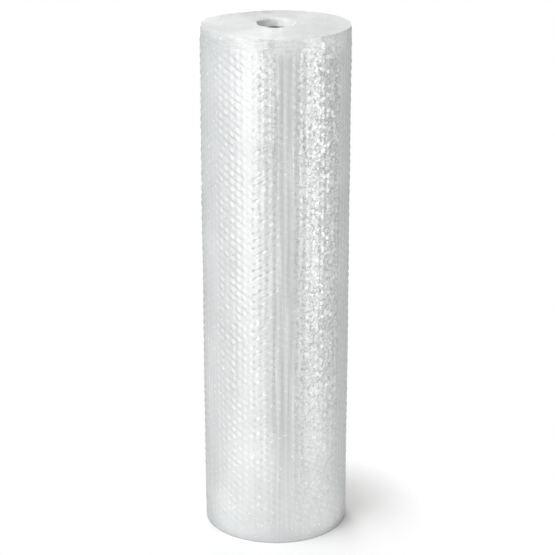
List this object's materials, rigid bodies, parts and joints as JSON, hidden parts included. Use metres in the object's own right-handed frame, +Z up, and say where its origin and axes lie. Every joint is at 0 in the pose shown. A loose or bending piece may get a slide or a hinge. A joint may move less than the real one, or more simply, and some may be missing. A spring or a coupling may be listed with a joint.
{
  "type": "bubble film roll",
  "caption": "Roll of clear air-bubble cushioning film standing on end, wound on itself without a tube, with a round hole through its middle.",
  "frame": {"origin": "middle of the lower end of the roll, on the axis of the hole, at the floor", "axes": "+Z up along the axis of the hole; -Y is the front; the loose end of the sheet lies at the back, towards +Y"},
  "size_m": [0.213, 0.213, 0.75],
  "materials": {
    "film": "clear polyethylene bubble film, glossy, milky white where many turns lie behind each other"
  },
  "bodies": {
    "root": {"bubble_film_roll": "film"}
  },
  "joints": []
}
